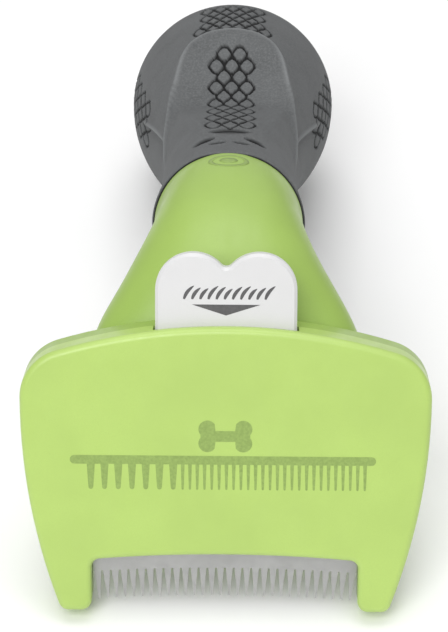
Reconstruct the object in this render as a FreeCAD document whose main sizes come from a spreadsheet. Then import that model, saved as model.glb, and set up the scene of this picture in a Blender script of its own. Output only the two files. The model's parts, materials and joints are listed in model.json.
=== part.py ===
"""Deshedding tool: a pear-shaped rubber handle, a bent plastic neck and a wide flat head that
holds a curved steel comb blade. A heart-shaped button on the head's top edge pushes a steel
ejector plate down behind the teeth, against two compression springs.

The pieces are drawn in the tool's own axes, in millimetres:
  X  across the head, the blade runs along it
  Y  away from the front face, the handle runs along it and rises a little
  Z  up from the tips of the two skin guards, the teeth point down
At the end one placement lays the tool down as it rests on a table, on its skin guards and on
the fat end of the handle, with the row's origin in the middle of that footprint.
"""

import FreeCAD, Part
import math
import os
import Sketcher
from FreeCAD import Placement, Rotation, Vector

# ---------------------------------------------------------------- driving dimensions
DIMENSIONS = [
    # head
    ("edge_width", 45.0, "blade width between the two skin guards"),
    ("head_width", 68.8, "widest part of the head"),
    ("head_height", 49.4, "skin guard tips to the middle of the head's top edge"),
    ("widest_height", 37.0, "height at which the head is widest"),
    ("side_radius", 105.0, "radius of each bowed side"),
    ("top_radius", 98.0, "radius of the bowed top edge"),
    ("corner_radius", 8.4, "radius of the two upper corners"),
    ("guard_foot_radius", 1.8, "rounding of the skin guard tips"),
    ("notch_height", 10.0, "middle of the notch's top edge"),
    ("notch_radius", 250.0, "radius of the notch's top edge"),
    ("notch_corner", 1.5, "rounding of the notch's upper corners"),
    ("head_depth", 10.0, "front face to the back of the head"),
    ("foot_depth", 8.2, "front face to the back of the skin guard tips"),
    ("taper_height", 30.0, "height where the back starts to taper"),
    ("seam_depth", 5.0, "front face to the seam between cover and back shell"),
    ("wall", 2.0, "wall of the head's shells"),
    ("front_wall", 1.8, "wall of the front face"),
    ("edge_round", 1.1, "rounding of the head's outer edges"),
    # blade
    ("blade_front", 3.6, "front face to the blade's front"),
    ("blade_thickness", 2.0, "thickness of the blade's body"),
    ("blade_top", 21.0, "height of the blade's upper edge"),
    ("tip_thickness", 0.8, "thickness at the tooth tips"),
    ("tip_height", 1.9, "height of the middle tooth tips"),
    ("tip_radius", 320.0, "radius of the curve the tips lie on"),
    ("bevel_height", 9.5, "height where the blade starts to thin"),
    ("tooth_length", 4.9, "length of the teeth"),
    ("tooth_count", 30, "teeth on the blade"),
    ("gap_width", 1.22, "gap between two tooth tips"),
    ("root_width", 0.34, "gap between two teeth at the root"),
    # ejector
    ("travel", 8.0, "stroke of the button"),
    ("button_width", 23.6, "width of the heart-shaped button"),
    ("button_top", 61.6, "height of the button's two lobes"),
    ("button_lobe_radius", 6.3, "radius of each lobe"),
    ("button_dip_radius", 1.2, "radius of the dip between the lobes"),
    ("button_bottom", 38.0, "lower end of the button, inside the head"),
    ("button_front", 1.95, "front face to the button's front"),
    ("button_thickness", 2.05, "thickness of the button"),
    ("button_bevel", 0.5, "bevel round the button's front"),
    ("slider_width", 28.0, "width of the slider"),
    ("slider_bottom", 29.5, "lower edge of the slider"),
    ("slider_top", 45.4, "upper edge of the slider"),
    ("slider_thickness", 1.8, "thickness of the slider"),
    ("ear_reach", 21.0, "middle of the head to the outer end of a slider ear"),
    ("ear_bottom", 38.0, "underside of the slider ears"),
    ("plate_thickness", 0.8, "thickness of the ejector plate"),
    ("plate_edge", 10.6, "lower edge of the ejector plate at rest"),
    ("plate_shoulder", 20.0, "top of the plate's wide part"),
    ("plate_top", 34.0, "top of the plate's narrow part"),
    ("plate_clearance", 0.2, "gap between blade and ejector plate"),
    ("post_radius", 2.0, "radius of the guide post in the middle"),
    ("post_height", 34.0, "height of the guide post"),
    ("spring_offset", 18.4, "middle of the head to a spring's axis"),
    ("spring_depth", 5.9, "front face to a spring's axis"),
    ("spring_radius", 1.55, "mean radius of a spring"),
    ("spring_wire", 0.45, "wire diameter of a spring"),
    ("spring_turns", 8, "turns of a spring"),
    ("shelf_height", 24.0, "top of the shelf that carries a spring"),
    # fasteners
    ("blade_screw_offset", 17.5, "middle of the head to a blade screw"),
    ("blade_screw_height", 16.0, "height of the blade screws"),
    ("corner_screw_offset", 27.4, "middle of the head to a corner screw"),
    ("corner_screw_height", 37.4, "height of the corner screws"),
    ("screw_radius", 1.0, "thread radius of the screws"),
    ("screw_head_radius", 1.9, "head radius of the screws"),
    ("screw_head", 1.2, "head height of the screws"),
    ("neck_screw_offset", 6.5, "middle of the neck to a neck screw"),
    ("neck_screw_depth", 21.0, "front face to the neck screws"),
    # handle
    ("ring_depth", 38.2, "front face to the centre of the handle's front end"),
    ("ring_height", 59.4, "height of the centre of the handle's front end"),
    ("ring_radius", 13.2, "radius of the neck where the handle starts"),
    ("handle_rise", 6.6, "angle of the handle above the Y axis"),
    ("handle_length", 100.0, "length of the grip along its axis"),
    ("palm_radius", 20.3, "radius of the fat end"),
    ("palm_place", 80.0, "distance along the grip to its thickest place"),
    ("grip_wall", 2.2, "thickness of the rubber"),
    ("core_wall", 2.4, "wall of the plastic core"),
    ("neck_wall", 2.2, "wall of the neck"),
    ("neck_column", 2.9, "radius of the two screw columns inside the neck"),
    ("core_column", 3.0, "radius of the screw columns inside the core"),
    ("screw_clearance", 0.25, "gap round a screw head in its recess"),
    ("lock_place", 5.5, "distance along the spigot to the screw that holds it"),
    ("spigot_length", 8.0, "length of the core's spigot inside the neck"),
    ("spigot_radius", 9.5, "radius of the core's spigot, clear of the neck's sloping top wall"),
]

doc = FreeCAD.newDocument("deshedding_tool")
sheet = doc.addObject("Spreadsheet::Sheet", "sizes")
for row, (alias, size, note) in enumerate(DIMENSIONS, start=1):
    sheet.set(f"A{row}", note)
    sheet.set(f"B{row}", str(size))
    sheet.setAlias(f"B{row}", alias)
doc.recompute()


class Dim:
    """A length that carries both its value and the spreadsheet expression behind it."""

    def __init__(self, value, text=None):
        self.value = float(value)
        self.text = repr(float(value)) if text is None else text

    @staticmethod
    def of(thing):
        return thing if isinstance(thing, Dim) else Dim(thing)

    def _join(self, other, sign, value):
        return Dim(value, f"({self.text} {sign} {Dim.of(other).text})")

    def __add__(self, other):
        return self._join(other, "+", self.value + Dim.of(other).value)

    def __sub__(self, other):
        return self._join(other, "-", self.value - Dim.of(other).value)

    def __mul__(self, other):
        return self._join(other, "*", self.value * Dim.of(other).value)

    def __truediv__(self, other):
        return self._join(other, "/", self.value / Dim.of(other).value)

    def __neg__(self):
        return Dim(-self.value, f"(-1 * {self.text})")


def cell(alias):
    """The spreadsheet cell of that alias, as a Dim."""
    return Dim(sheet.get(alias), f"sizes.{alias}")


def size(alias):
    """The number in the spreadsheet cell of that alias."""
    return float(sheet.get(alias))


# ---------------------------------------------------------------- sketch and feature helpers
def plane_of(body, role):
    return next(f for f in body.Origin.OriginFeatures if f.Role == role)


def new_body(name):
    body = doc.addObject("PartDesign::Body", name)
    body.Label = name
    return body


def new_sketch(body, name, role, offset=None):
    """A sketch on one of the body's origin planes, moved along the plane's normal by offset.
    XZ_Plane's normal is -Y, so the offset there is minus the wanted Y."""
    sketch = body.newObject("Sketcher::SketchObject", name)
    sketch.AttachmentSupport = [(plane_of(body, role), "")]
    sketch.MapMode = "FlatFace"
    if offset is not None:
        sketch.setExpression(".AttachmentOffset.Base.z", Dim.of(offset).text)
    return sketch


def front_sketch(body, name, depth=0.0):
    """A sketch parallel to the front face, at the given distance behind it."""
    return new_sketch(body, name, "XZ_Plane", -Dim.of(depth))


def pin_point(sketch, geometry, end, x, y):
    """Holds one end of a line or arc at x, y, each bound to the spreadsheet."""
    for kind, place in (("DistanceX", Dim.of(x)), ("DistanceY", Dim.of(y))):
        index = sketch.addConstraint(Sketcher.Constraint(kind, -1, 1, geometry, end, place.value))
        if "sizes." in place.text:
            sketch.setExpression(f"Constraints[{index}]", place.text)


def draw_outline(sketch, start, steps):
    """A closed outline of lines and arcs. Each step is (end,) for a line or (end, middle) for an
    arc through middle; the last step ends at start."""
    here = start
    for step in steps:
        there = step[0]
        a = Vector(Dim.of(here[0]).value, Dim.of(here[1]).value, 0)
        b = Vector(Dim.of(there[0]).value, Dim.of(there[1]).value, 0)
        if len(step) == 1:
            index = sketch.addGeometry(Part.LineSegment(a, b), False)
            start_end = 1
        else:
            middle = Vector(Dim.of(step[1][0]).value, Dim.of(step[1][1]).value, 0)
            arc = Part.Arc(a, middle, b)
            index = sketch.addGeometry(arc, False)
            # a sketch stores arcs anticlockwise, so a clockwise arc starts at its far end
            turn = (middle - a).cross(b - a).z
            start_end = 1 if turn > 0 else 2
        pin_point(sketch, index, start_end, here[0], here[1])
        pin_point(sketch, index, 3 - start_end, there[0], there[1])
        here = there


def draw_rectangle(sketch, x0, y0, x1, y1):
    draw_outline(sketch, (x0, y0), [((x1, y0),), ((x1, y1),), ((x0, y1),), ((x0, y0),)])


def draw_circle(sketch, x, y, radius):
    centre = Vector(Dim.of(x).value, Dim.of(y).value, 0)
    circle = Part.Circle(centre, Vector(0, 0, 1), Dim.of(radius).value)
    index = sketch.addGeometry(circle, False)
    pin_point(sketch, index, 3, x, y)
    bound = sketch.addConstraint(Sketcher.Constraint("Radius", index, Dim.of(radius).value))
    sketch.setExpression(f"Constraints[{bound}]", Dim.of(radius).text)


def pad(body, sketch, length, backwards=True):
    """Adds the sketch's prism. From a front_sketch, backwards is towards the handle."""
    feature = body.newObject("PartDesign::Pad", sketch.Name + "_pad")
    feature.Profile = sketch
    feature.setExpression("Length", Dim.of(length).text)
    feature.Reversed = backwards
    sketch.Visibility = False
    doc.recompute()
    return feature


def pocket(body, sketch, length=None, backwards=True, both_ways=False):
    """Cuts the sketch's prism. From a front_sketch, backwards is towards the handle."""
    before = body.Shape.Volume
    feature = body.newObject("PartDesign::Pocket", sketch.Name + "_pocket")
    feature.Profile = sketch
    if length is None:
        feature.Type = "ThroughAll"
    else:
        feature.setExpression("Length", Dim.of(length).text)
    feature.Midplane = both_ways
    feature.Reversed = not backwards
    # a pocket cuts against its sketch's normal, which on the XZ plane is already towards +Y
    doc.recompute()
    if body.Shape.Volume >= before - 1e-6:
        raise RuntimeError(f"{feature.Name} cut nothing")
    return feature


def both_sides(x):
    """The same place on the right and on the left."""
    return (Dim.of(x), -Dim.of(x))


def edges_where(shape, test):
    """Names of the shape's edges whose points all pass the test."""
    names = []
    for number, edge in enumerate(shape.Edges, start=1):
        span = edge.ParameterRange
        places = [edge.valueAt(span[0] + (span[1] - span[0]) * k / 4) for k in range(5)]
        if all(test(p) for p in places):
            names.append(f"Edge{number}")
    return names


def round_edges(body, base, radius, test, kind="PartDesign::Fillet"):
    feature = body.newObject(kind, base.Name + "_rounded")
    feature.Base = (base, edges_where(base.Shape, test))
    feature.setExpression("Radius" if kind.endswith("Fillet") else "Size", Dim.of(radius).text)
    doc.recompute()
    return feature


# ---------------------------------------------------------------- head outline
def point_on_circle(centre_x, centre_y, radius, angle):
    return (centre_x + radius * math.cos(angle), centre_y + radius * math.sin(angle))


def head_outline(inset=0.0):
    """Right half of the head's outline, as the points where its arcs meet: guard foot, widest
    side, both ends of the corner, middle of the top. inset moves all of it inwards."""
    side = size("side_radius") - inset
    top = size("top_radius") - inset
    corner = size("corner_radius") - inset
    side_x = size("head_width") / 2 - size("side_radius")
    side_z = size("widest_height")
    top_z = size("head_height") - size("top_radius")
    # the corner's circle touches the side's circle and the top's circle from inside
    near, far = side - corner, top - corner
    gap_x, gap_z = -side_x, top_z - side_z
    gap = math.hypot(gap_x, gap_z)
    along = (near * near - far * far + gap * gap) / (2 * gap)
    across = math.sqrt(near * near - along * along)
    ux, uz = gap_x / gap, gap_z / gap
    corner_x = side_x + along * ux - across * uz
    corner_z = side_z + along * uz + across * ux
    side_end = math.atan2(corner_z - side_z, corner_x - side_x)
    top_end = math.atan2(corner_z - top_z, corner_x)
    return {
        "side": lambda a: point_on_circle(side_x, side_z, side, a),
        "side_x_at": lambda z: side_x + math.sqrt(side * side - (z - side_z) ** 2),
        "side_angle_at": lambda z: math.asin((z - side_z) / side),
        "side_end": side_end,
        "corner": lambda a: point_on_circle(corner_x, corner_z, corner, a),
        "top_end": top_end,
        "top": lambda a: point_on_circle(0.0, top_z, top, a),
    }


def mirrored(point):
    return (-point[0], point[1])


def draw_head(sketch):
    """The head's full outline, with the notch between the two skin guards. All its arcs meet
    tangentially."""
    o = head_outline()
    foot = size("guard_foot_radius")
    notch_half = size("edge_width") / 2
    notch_bow = size("notch_radius")
    nook = size("notch_corner")
    # outer corner of a foot: a circle that touches the floor line and the side from inside
    side, side_z = size("side_radius"), size("widest_height")
    side_x = size("head_width") / 2 - side
    foot_x = side_x + math.sqrt((side - foot) ** 2 - (foot - side_z) ** 2)
    foot_turn = math.atan2(foot - side_z, foot_x - side_x)
    outer_foot = (foot_x, 0.0)
    outer_mid = point_on_circle(foot_x, foot, foot, (foot_turn - math.pi / 2) / 2)
    side_low = o["side"](foot_turn)
    side_high = o["side"](o["side_end"])
    side_mid = o["side"](0.0)
    corner_mid = o["corner"]((o["side_end"] + o["top_end"]) / 2)
    top_right = o["top"](o["top_end"])
    # upper corner of the notch: a circle that touches the notch's side and its bowed top
    bow_z = size("notch_height") - notch_bow
    nook_x = notch_half - nook
    nook_z = bow_z + math.sqrt((notch_bow - nook) ** 2 - nook_x**2)
    nook_turn = math.atan2(nook_z - bow_z, nook_x)
    nook_end = point_on_circle(0.0, bow_z, notch_bow, nook_turn)
    nook_mid = point_on_circle(nook_x, nook_z, nook, nook_turn / 2)
    inner_foot = (notch_half + foot, 0.0)
    inner_mid = point_on_circle(notch_half + foot, foot, foot, math.radians(225))
    inner_low = (notch_half, foot)
    inner_high = (notch_half, nook_z)
    right = [
        (outer_foot,),
        (side_low, outer_mid),
        (side_high, side_mid),
        (top_right, corner_mid),
    ]
    left = [
        (mirrored(side_high), mirrored(corner_mid)),
        (mirrored(side_low), mirrored(side_mid)),
        (mirrored(outer_foot), mirrored(outer_mid)),
        (mirrored(inner_foot),),
        (mirrored(inner_low), mirrored(inner_mid)),
        (mirrored(inner_high),),
        (mirrored(nook_end), mirrored(nook_mid)),
        (nook_end, (0.0, size("notch_height"))),
        (inner_high, nook_mid),
        (inner_low,),
        (inner_foot, inner_mid),
    ]
    across_top = [(mirrored(top_right), (0.0, size("head_height")))]
    draw_outline(sketch, inner_foot, right + across_top + left)


def draw_head_cavity(sketch):
    """The hollow inside the head's walls. Between the skin guards it runs out through the notch,
    and it stays above the solid guards."""
    o = head_outline(size("wall"))
    floor = size("notch_height") + 4.0
    mouth = size("edge_width") / 2 + 0.1
    low = o["side"](o["side_angle_at"](floor))
    side_high = o["side"](o["side_end"])
    top_right = o["top"](o["top_end"])
    corner_mid = o["corner"]((o["side_end"] + o["top_end"]) / 2)
    crown = (0.0, size("head_height") - size("wall"))
    draw_outline(
        sketch,
        (mouth, -1.0),
        [
            ((mouth, floor),),
            (low,),
            (side_high, o["side"](0.0)),
            (top_right, corner_mid),
            (mirrored(top_right), crown),
            (mirrored(side_high), mirrored(corner_mid)),
            (mirrored(low), mirrored(o["side"](0.0))),
            ((-mouth, floor),),
            ((-mouth, -1.0),),
            ((mouth, -1.0),),
        ],
    )


# ---------------------------------------------------------------- front cover of the head
def make_face_cover():
    """Front half of the head: the plain face, the blade's seat, the guide post, two screw bosses
    and the slot behind the face that the button slides in."""
    body = new_body("face_cover")
    outline = front_sketch(body, "cover_outline")
    draw_head(outline)
    block = pad(body, outline, cell("seam_depth"))
    round_edges(body, block, cell("edge_round"), lambda p: abs(p.y) < 1e-4)
    hollow = front_sketch(body, "cover_hollow", cell("front_wall"))
    draw_head_cavity(hollow)
    pocket(body, hollow, cell("seam_depth"))
    seat = front_sketch(body, "blade_seat", cell("front_wall"))
    reach = cell("edge_width") / 2 - 1.5
    draw_rectangle(seat, -reach, cell("notch_height") + 2.5, reach, cell("blade_top") - 1.0)
    pad(body, seat, cell("blade_front") - cell("front_wall"))
    post = front_sketch(body, "guide_post", cell("front_wall"))
    draw_circle(post, 0.0, cell("post_height"), cell("post_radius"))
    pad(body, post, cell("head_depth") - cell("wall") - cell("front_wall") - 0.05)
    bosses = front_sketch(body, "cover_bosses", cell("front_wall"))
    for x in both_sides(cell("corner_screw_offset")):
        draw_circle(bosses, x, cell("corner_screw_height"), cell("screw_radius") * 2.6)
    pad(body, bosses, cell("seam_depth") - cell("front_wall"))
    slot = front_sketch(body, "button_slot", cell("button_front") - 0.2)
    half = cell("button_width") / 2 + 0.35
    draw_rectangle(slot, -half, cell("head_height") - 6.0, half, cell("head_height") + 2.0)
    pocket(body, slot, cell("seam_depth"))
    pilots = front_sketch(body, "cover_pilots", cell("front_wall") - 0.6)
    for x in both_sides(cell("corner_screw_offset")):
        draw_circle(pilots, x, cell("corner_screw_height"), cell("screw_radius"))
    for x in both_sides(cell("blade_screw_offset")):
        draw_circle(pilots, x, cell("blade_screw_height"), cell("screw_radius"))
    pocket(body, pilots, cell("seam_depth"))
    return body


# ---------------------------------------------------------------- back half of the head
def back_depth_at(height):
    """Y of the head's back face, which tapers towards the skin guards."""
    if height >= size("taper_height"):
        return size("head_depth")
    slope = (size("head_depth") - size("foot_depth")) / size("taper_height")
    return size("foot_depth") + slope * height


def make_back_head():
    """Back half of the head without its neck: tapered back wall, posts and bosses for the
    screws, and two shelves that carry the springs."""
    body = new_body("back_head")
    outline = front_sketch(body, "back_outline", cell("seam_depth"))
    draw_head(outline)
    pad(body, outline, cell("head_depth") - cell("seam_depth"))
    taper = new_sketch(body, "back_taper", "YZ_Plane")
    deep = cell("head_depth")
    draw_outline(
        taper,
        (deep, cell("taper_height")),
        [
            ((cell("foot_depth"), 0.0),),
            ((cell("foot_depth"), -2.0),),
            ((deep + 3.0, -2.0),),
            ((deep + 3.0, cell("taper_height")),),
            ((deep, cell("taper_height")),),
        ],
    )
    tapered = pocket(body, taper, both_ways=True)

    def on_back(p):
        return abs(p.y - back_depth_at(p.z)) < 1e-3

    def in_taper_line(p):
        return abs(p.z - size("taper_height")) < 1e-3

    rim = [
        name
        for name in edges_where(tapered.Shape, on_back)
        if name not in edges_where(tapered.Shape, in_taper_line)
    ]
    rounded = body.newObject("PartDesign::Fillet", "back_rounded")
    rounded.Base = (tapered, rim)
    rounded.setExpression("Radius", cell("edge_round").text)
    doc.recompute()
    hollow = front_sketch(body, "back_hollow", cell("head_depth") - cell("wall"))
    draw_head_cavity(hollow)
    pocket(body, hollow, cell("head_depth"), backwards=False)
    shelves = front_sketch(body, "spring_shelves", cell("spring_depth") - 2.1)
    for side in (1.0, -1.0):
        inner = (cell("spring_offset") - 3.0) * side
        outer = (cell("spring_offset") + 3.0) * side
        draw_rectangle(shelves, inner, cell("shelf_height") - 2.0, outer, cell("shelf_height"))
    pad(body, shelves, cell("head_depth") - cell("wall") - cell("spring_depth") + 2.6)
    guides = new_sketch(body, "spring_guides", "XY_Plane", cell("shelf_height"))
    for x in both_sides(cell("spring_offset")):
        draw_circle(guides, x, cell("spring_depth"), cell("spring_radius") - 0.5)
    pad(body, guides, 4.5, backwards=False)
    posts = front_sketch(body, "blade_posts", cell("blade_front") + cell("blade_thickness"))
    for x in both_sides(cell("blade_screw_offset")):
        draw_circle(posts, x, cell("blade_screw_height"), cell("screw_radius") * 2.5)
    post_length = cell("head_depth") - cell("wall") + 0.5
    pad(body, posts, post_length - cell("blade_front") - cell("blade_thickness"))
    bosses = front_sketch(body, "back_bosses", cell("seam_depth"))
    for x in both_sides(cell("corner_screw_offset")):
        draw_circle(bosses, x, cell("corner_screw_height"), cell("screw_radius") * 2.6)
    pad(body, bosses, cell("head_depth") - cell("wall") - cell("seam_depth") + 0.5)
    holes = front_sketch(body, "screw_holes", cell("head_depth") + 1.0)
    for x in both_sides(cell("blade_screw_offset")):
        draw_circle(holes, x, cell("blade_screw_height"), cell("screw_radius") + 0.1)
    for x in both_sides(cell("corner_screw_offset")):
        draw_circle(holes, x, cell("corner_screw_height"), cell("screw_radius") + 0.1)
    pocket(body, holes, cell("head_depth"), backwards=False)
    recesses = front_sketch(body, "screw_recesses", cell("head_depth") + 1.0)
    for x in both_sides(cell("corner_screw_offset")):
        draw_circle(recesses, x, cell("corner_screw_height"), cell("screw_head_radius") + 0.2)
    for x in both_sides(cell("blade_screw_offset")):
        draw_circle(recesses, x, cell("blade_screw_height"), cell("screw_head_radius") + 0.2)
    pocket(body, recesses, cell("screw_head") + 1.6, backwards=False)
    return body


# ---------------------------------------------------------------- blade
def make_blade():
    """Comb blade: a plate with a bowed lower edge, thinned towards the tips, with V-shaped gaps
    cut on rays of the same bow."""
    body = new_body("deshedding_blade")
    half = cell("edge_width") / 2 - 0.1
    bow = size("tip_radius")
    drop = bow - math.sqrt(bow**2 - half.value**2)
    outline = front_sketch(body, "blade_outline", cell("blade_front"))
    end_z = cell("tip_height") - drop
    draw_outline(
        outline,
        (half, end_z),
        [
            ((half, cell("blade_top") - 1.5),),
            ((half - 1.5, cell("blade_top")),),
            ((-(half - 1.5), cell("blade_top")),),
            ((-half, cell("blade_top") - 1.5),),
            ((-half, end_z),),
            ((half, end_z), (0.0, cell("tip_height"))),
        ],
    )
    pad(body, outline, cell("blade_thickness"))
    bevel = new_sketch(body, "blade_bevel", "YZ_Plane")
    back = cell("blade_front") + cell("blade_thickness")
    draw_outline(
        bevel,
        (back, cell("bevel_height")),
        [
            ((cell("blade_front") + cell("tip_thickness"), 0.0),),
            ((back + 1.0, 0.0),),
            ((back + 1.0, cell("bevel_height")),),
            ((back, cell("bevel_height")),),
        ],
    )
    pocket(body, bevel, both_ways=True)
    holes = front_sketch(body, "blade_holes", cell("blade_front") - 1.0)
    for x in both_sides(cell("blade_screw_offset")):
        draw_circle(holes, x, cell("blade_screw_height"), cell("screw_radius") + 0.15)
    pocket(body, holes, cell("blade_thickness") + 2.0)
    # the gap is drawn at the bow's centre, turned to the first gap, and repeated round it
    gaps = int(size("tooth_count")) + 1
    pitch = size("edge_width") / (gaps - 0.4) / bow
    gap = body.newObject("Sketcher::SketchObject", "tooth_gap")
    gap.AttachmentSupport = [(plane_of(body, "XZ_Plane"), "")]
    gap.MapMode = "FlatFace"
    first = pitch * (gaps - 1) / 2
    centre = Vector(0, size("tip_height") - bow, -(size("blade_front") - 1.0))
    gap.AttachmentOffset = Placement(centre, Rotation(Vector(0, 0, 1), math.degrees(-first)))
    wide, narrow = size("gap_width") / 2, size("root_width") / 2
    root = bow + size("tooth_length")
    draw_outline(
        gap,
        (-wide, bow - 1.0),
        [
            ((wide, bow - 1.0),),
            ((wide, bow),),
            ((narrow, root - narrow),),
            ((-narrow, root - narrow), (0.0, root)),
            ((-wide, bow),),
            ((-wide, bow - 1.0),),
        ],
    )
    cut = pocket(body, gap, cell("blade_thickness") + 2.0)
    pattern = body.newObject("PartDesign::PolarPattern", "tooth_gaps")
    pattern.Originals = [cut]
    pattern.Axis = (gap, ["N_Axis"])
    pattern.Angle = math.degrees(pitch * (gaps - 1))
    pattern.Occurrences = gaps
    body.Tip = pattern
    doc.recompute()
    if len(body.Shape.Faces) < 3 * gaps:
        pattern.Reversed = True
        doc.recompute()
    return body


# ---------------------------------------------------------------- ejector
def make_button():
    """Heart-shaped button: two round lobes with a dip between them, a bevelled front edge and a
    forked lower end that straddles the guide post."""
    body = new_body("ejector_button")
    half = size("button_width") / 2
    lobe, dip = size("button_lobe_radius"), size("button_dip_radius")
    lobe_x = half - lobe
    lobe_z = size("button_top") - lobe
    # the dip's circle touches both lobes from outside
    dip_z = lobe_z + math.sqrt((lobe + dip) ** 2 - lobe_x**2)
    touch = math.atan2(dip_z - lobe_z, -lobe_x)
    dip_right = point_on_circle(lobe_x, lobe_z, lobe, touch)
    lobe_mid = point_on_circle(lobe_x, lobe_z, lobe, touch / 2)
    dip_low = (0.0, dip_z - dip)
    fork = size("post_radius") + 0.4
    crotch = size("post_height") + size("post_radius") + size("travel") + 0.4
    bottom = cell("button_bottom")
    right_side = (cell("button_width") / 2, lobe_z)
    left_side = (-(cell("button_width") / 2), lobe_z)
    outline = front_sketch(body, "button_outline", cell("button_front"))
    draw_outline(
        outline,
        (fork, bottom),
        [
            ((cell("button_width") / 2, bottom),),
            (right_side,),
            (dip_right, lobe_mid),
            (mirrored(dip_right), dip_low),
            (left_side, mirrored(lobe_mid)),
            ((-(cell("button_width") / 2), bottom),),
            ((-fork, bottom),),
            ((-fork, crotch),),
            ((fork, crotch),),
            ((fork, bottom),),
        ],
    )
    plate = pad(body, outline, cell("button_thickness"))

    def front_rim(p):
        return abs(p.y - size("button_front")) < 1e-4 and p.z > size("button_bottom") + 0.01

    kept = edges_where(
        plate.Shape,
        lambda p: front_rim(p) and (abs(p.x) > half - 0.01 or p.z > crotch + 1.0),
    )
    bevel = body.newObject("PartDesign::Chamfer", "button_bevel_edge")
    bevel.Base = (plate, kept)
    bevel.setExpression("Size", cell("button_bevel").text)
    doc.recompute()
    pegs = front_sketch(body, "button_pegs", cell("button_front") + cell("button_thickness"))
    for x in both_sides(8.0):
        draw_circle(pegs, x, 41.5, 1.3)
    pad(body, pegs, cell("slider_thickness") - 0.1)
    return body


def make_slider():
    """Moulded slider behind the button: a plate with a slot for the guide post and two ears that
    press on the springs."""
    body = new_body("ejector_slider")
    front = cell("button_front") + cell("button_thickness")
    half = cell("slider_width") / 2
    plate = front_sketch(body, "slider_plate", front)
    draw_rectangle(plate, -half, cell("slider_bottom"), half, cell("slider_top"))
    pad(body, plate, cell("slider_thickness"))
    ears = front_sketch(body, "slider_ears", front + 0.1)
    for side in (1.0, -1.0):
        inner = (half - 1.0) * side
        outer = cell("ear_reach") * side
        draw_rectangle(ears, inner, cell("ear_bottom"), outer, cell("ear_bottom") + 3.0)
    pad(body, ears, 3.7)
    slot = front_sketch(body, "slider_slot", front - 1.0)
    wide = cell("post_radius") + 0.15
    low = cell("post_height") - cell("post_radius") - 0.15
    high = cell("post_height") + cell("post_radius") + cell("travel") + 0.15
    draw_rectangle(slot, -wide, low, wide, high)
    pocket(body, slot, cell("slider_thickness") + 2.0)
    holes = front_sketch(body, "slider_holes", front - 1.0)
    for x in both_sides(8.0):
        draw_circle(holes, x, 41.5, 1.35)
    for x in both_sides(8.0):
        draw_circle(holes, x, cell("slider_bottom") + 2.4, 1.0)
    pocket(body, holes, cell("slider_thickness") + 2.0)
    return body


def plate_front():
    return cell("blade_front") + cell("blade_thickness") + cell("plate_clearance")


def make_plate():
    """Steel ejector plate behind the blade: wide at the teeth, with open slots that clear the
    blade posts, and a narrow tongue riveted to the slider."""
    body = new_body("ejector_plate")
    half = cell("edge_width") / 2 - 0.35
    tongue = cell("slider_width") / 2 - 1.6
    slot_in = cell("blade_screw_offset") - cell("screw_radius") * 2.5 - 0.25
    slot_out = cell("blade_screw_offset") + cell("screw_radius") * 2.5 + 0.25
    slot_low = cell("blade_screw_height") - cell("screw_radius") * 2.5 - 0.25
    shoulder, top = cell("plate_shoulder"), cell("plate_top")
    notch = cell("post_radius") + 0.3
    notch_low = cell("post_height") - cell("post_radius") - 0.3
    edge = cell("plate_edge") - 0.7
    draw = front_sketch(body, "plate_outline", plate_front())
    draw_outline(
        draw,
        (half, edge),
        [
            ((half, shoulder),),
            ((slot_out, shoulder),),
            ((slot_out, slot_low),),
            ((slot_in, slot_low),),
            ((slot_in, shoulder),),
            ((tongue, shoulder),),
            ((tongue, top),),
            ((notch, top),),
            ((notch, notch_low),),
            ((-notch, notch_low),),
            ((-notch, top),),
            ((-tongue, top),),
            ((-tongue, shoulder),),
            ((-slot_in, shoulder),),
            ((-slot_in, slot_low),),
            ((-slot_out, slot_low),),
            ((-slot_out, shoulder),),
            ((-half, shoulder),),
            ((-half, edge),),
            ((half, edge), (0.0, cell("plate_edge"))),
        ],
    )
    pad(body, draw, cell("plate_thickness"))
    holes = front_sketch(body, "plate_holes", plate_front() - 1.0)
    for x in both_sides(8.0):
        draw_circle(holes, x, cell("slider_bottom") + 2.4, 1.0)
    pocket(body, holes, cell("plate_thickness") + 2.0)
    return body


def make_rivets():
    """Two rivets that hold the ejector plate to the slider."""
    body = new_body("ejector_rivets")
    shanks = front_sketch(body, "rivet_shanks", cell("button_front") + cell("button_thickness"))
    for x in both_sides(8.0):
        draw_circle(shanks, x, cell("slider_bottom") + 2.4, 0.98)
    pad(body, shanks, cell("slider_thickness") + cell("plate_thickness"))
    heads = front_sketch(body, "rivet_heads", plate_front() + cell("plate_thickness"))
    for x in both_sides(8.0):
        draw_circle(heads, x, cell("slider_bottom") + 2.4, 1.7)
    pad(body, heads, 0.7)
    return body


def make_spring(name, side):
    """Compression spring between a shelf and a slider ear."""
    length = size("ear_bottom") - size("shelf_height") - size("spring_wire") - 0.04
    turns = size("spring_turns")
    radius = size("spring_radius")
    helix = Part.makeHelix(length / turns, length, radius)
    start = Vector(radius, 0, 0)
    circle = Part.makeCircle(size("spring_wire") / 2, start, Vector(0, 1, 0))
    coil = Part.Wire(helix.Edges).makePipeShell([Part.Wire([circle])], True, True)
    foot = size("shelf_height") + size("spring_wire") / 2 + 0.02
    coil.translate(Vector(side * size("spring_offset"), size("spring_depth"), foot))
    spring = doc.addObject("Part::Feature", name)
    spring.Shape = coil
    return spring


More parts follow.
